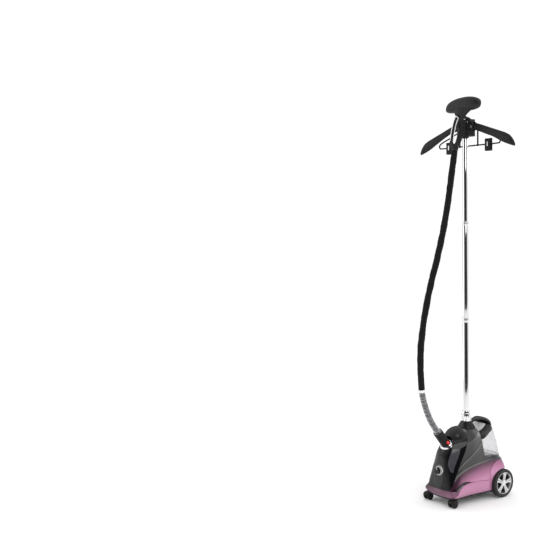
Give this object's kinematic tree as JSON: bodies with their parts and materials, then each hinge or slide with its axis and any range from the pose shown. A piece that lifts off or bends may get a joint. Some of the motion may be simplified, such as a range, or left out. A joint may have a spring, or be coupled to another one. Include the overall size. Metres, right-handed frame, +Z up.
{
  "type": "garment steamer",
  "caption": "Upright garment steamer on a wheeled base with a lift-off water tank, a telescopic pole, a folding clothes hanger with a clip bar, and a fabric-sleeved steam hose to a handset.",
  "frame": {"origin": "on the floor under the middle of the pole, which is also the middle of the footprint", "axes": "+Z up, -Y is the front with the dial and the hose connector, +X is the right-hand side seen from behind the front; the housing is the same on both sides of X = 0"},
  "size_m": [0.462, 0.4108, 1.5081],
  "materials": {
    "satin_black": "satin moulded plastic",
    "gloss_black": "high gloss",
    "matte_black": "fine matte texture",
    "trouser_wire": "black coated wire",
    "pink_metallic": "metallic lacquer that fades from dusty pink to near black",
    "chrome": "polished",
    "clear_plastic": "clear, lightly frosted",
    "smoke_plastic": "smoky dark",
    "tyre": "matte moulded",
    "silver_plastic": "silver lacquer",
    "red_plastic": "gloss",
    "white_plastic": "smooth",
    "cast_aluminium": "as cast",
    "steel": "drawn rod",
    "plate_metal": "brushed",
    "ribbed_hose": "ribbed, metallic grey over black",
    "fabric_sleeve": "woven sleeve, loosely wrinkled"
  },
  "bodies": {
    "base": {"front_bezel": "gloss_black", "top_cowl": "satin_black", "front_skirt": "pink_metallic", "body_shell_right": "satin_black", "rocker_panel_right": "pink_metallic", "fender_right": "pink_metallic", "body_shell_left": "satin_black", "rocker_panel_left": "pink_metallic", "fender_left": "pink_metallic", "rear_housing": "pink_metallic", "base_tray": "matte_black", "axle": "steel", "drain_plug": "matte_black", "dial_panel": "matte_black", "control_switch": "matte_black", "hose_socket": "gloss_black", "hose_connector": "matte_black", "dome_hood": "gloss_black", "neck_cone": "gloss_black", "pole_socket": "matte_black", "pole_lower_tube": "chrome", "tank_seat": "smoke_plastic", "boiler": "cast_aluminium", "pump": "white_plastic", "steam_pipe": "matte_black", "water_pipe": "white_plastic", "cord_inlet": "matte_black", "hose_ribbed": "ribbed_hose", "hose_sleeve": "fabric_sleeve", "sleeve_cuff": "white_plastic"},
    "pole_top": {"pole_top_tube": "chrome", "hanger_hub": "matte_black", "trouser_bar": "trouser_wire", "handset_shell": "matte_black", "steam_plate": "plate_metal"},
    "pole_middle": {"pole_middle_tube": "chrome"},
    "dial": {"dial_knob": "gloss_black"},
    "connector_ring": {"connector_ring": "chrome"},
    "release_button": {"release_button": "red_plastic"},
    "lock_nut": {"lock_nut": "chrome"},
    "tank": {"water_tank": "clear_plastic", "tank_valve": "white_plastic"},
    "tank_lid": {"tank_lid": "matte_black", "carry_handle": "satin_black"},
    "steam_trigger": {"steam_trigger": "matte_black"},
    "wheel_right": {"tyre_right": "tyre", "rim_right": "silver_plastic"},
    "caster_swivel_right": {"caster_fork_right": "matte_black"},
    "caster_wheels_right": {"caster_wheels_right": "matte_black"},
    "arm_right": {"hanger_arm_right": "matte_black"},
    "clip_right": {"clip_right": "matte_black"},
    "clip_jaw_right": {"clip_jaw_right": "matte_black"},
    "wheel_left": {"tyre_left": "tyre", "rim_left": "silver_plastic"},
    "caster_swivel_left": {"caster_fork_left": "matte_black"},
    "caster_wheels_left": {"caster_wheels_left": "matte_black"},
    "arm_left": {"hanger_arm_left": "matte_black"},
    "clip_left": {"clip_left": "matte_black"},
    "clip_jaw_left": {"clip_jaw_left": "matte_black"}
  },
  "joints": [
    {"name": "pole_height", "type": "slide", "parent": "base", "child": "pole_top", "axis": [0, 0, 1], "range_m": [-0.6, 0], "deforming": ["hose_sleeve"]},
    {"name": "pole_middle_slide", "type": "slide", "parent": "base", "child": "pole_middle", "axis": [0, 0, 1], "range_m": [-0.3, 0]},
    {"name": "dial_turn", "type": "hinge", "parent": "base", "child": "dial", "pos_m": [0, -0.1508, 0.126], "axis": [0, -0.9934, 0.1147], "range_deg": [0, 270]},
    {"name": "connector_ring_turn", "type": "hinge", "parent": "base", "child": "connector_ring", "pos_m": [0, -0.1, 0.208], "axis": [0, -0.6481, 0.7616], "range_deg": [0, 35]},
    {"name": "release_button_press", "type": "slide", "parent": "base", "child": "release_button", "axis": [-1, 0, 0], "range_m": [0, 0.002], "stiffness_N_per_m": 600},
    {"name": "lock_nut_turn", "type": "hinge", "parent": "base", "child": "lock_nut", "pos_m": [0, 0, 0.312], "axis": [0, 0, 1], "range_deg": [0, 180]},
    {"name": "tank_lift", "type": "slide", "parent": "base", "child": "tank", "axis": [0, 0.45, 0.893], "range_m": [0, 0.15]},
    {"name": "tank_lid_lift", "type": "slide", "parent": "tank", "child": "tank_lid", "axis": [0, 0.45, 0.893], "range_m": [0, 0.12]},
    {"name": "steam_trigger_press", "type": "slide", "parent": "pole_top", "child": "steam_trigger", "axis": [0, 0.9916, -0.1296], "range_m": [0, 0.0025], "stiffness_N_per_m": 500},
    {"name": "wheel_spin_right", "type": "hinge", "parent": "base", "child": "wheel_right", "pos_m": [0.0845, 0.103, 0.0535], "axis": [1, 0, 0], "continuous": true},
    {"name": "caster_swivel_turn_right", "type": "hinge", "parent": "base", "child": "caster_swivel_right", "pos_m": [0.062, -0.128, 0.02], "axis": [0, 0, 1], "continuous": true},
    {"name": "caster_roll_right", "type": "hinge", "parent": "caster_swivel_right", "child": "caster_wheels_right", "pos_m": [0.062, -0.141, 0.014], "axis": [1, 0, 0], "continuous": true},
    {"name": "arm_fold_right", "type": "hinge", "parent": "pole_top", "child": "arm_right", "pos_m": [0.038, 0, 1.402], "axis": [0, 1, 0], "range_deg": [0, 60]},
    {"name": "clip_slide_right", "type": "slide", "parent": "pole_top", "child": "clip_right", "axis": [1, 0, 0], "range_m": [-0.035, 0.02]},
    {"name": "clip_jaw_open_right", "type": "hinge", "parent": "clip_right", "child": "clip_jaw_right", "pos_m": [0.095, 0.02, 1.334], "axis": [-1, 0, 0], "range_deg": [0, 18], "stiffness_Nm_per_rad": 0.4},
    {"name": "wheel_spin_left", "type": "hinge", "parent": "base", "child": "wheel_left", "pos_m": [-0.0845, 0.103, 0.0535], "axis": [1, 0, 0], "continuous": true},
    {"name": "caster_swivel_turn_left", "type": "hinge", "parent": "base", "child": "caster_swivel_left", "pos_m": [-0.062, -0.128, 0.02], "axis": [0, 0, 1], "continuous": true},
    {"name": "caster_roll_left", "type": "hinge", "parent": "caster_swivel_left", "child": "caster_wheels_left", "pos_m": [-0.062, -0.141, 0.014], "axis": [1, 0, 0], "continuous": true},
    {"name": "arm_fold_left", "type": "hinge", "parent": "pole_top", "child": "arm_left", "pos_m": [-0.038, 0, 1.402], "axis": [0, -1, 0], "range_deg": [0, 60]},
    {"name": "clip_slide_left", "type": "slide", "parent": "pole_top", "child": "clip_left", "axis": [-1, 0, 0], "range_m": [-0.035, 0.02]},
    {"name": "clip_jaw_open_left", "type": "hinge", "parent": "clip_left", "child": "clip_jaw_left", "pos_m": [-0.095, 0.02, 1.334], "axis": [-1, 0, 0], "range_deg": [0, 18], "stiffness_Nm_per_rad": 0.4}
  ],
  "couplings": [
    {"joint": "pole_middle_slide", "follows": "pole_height", "ratio": 0.5}
  ]
}
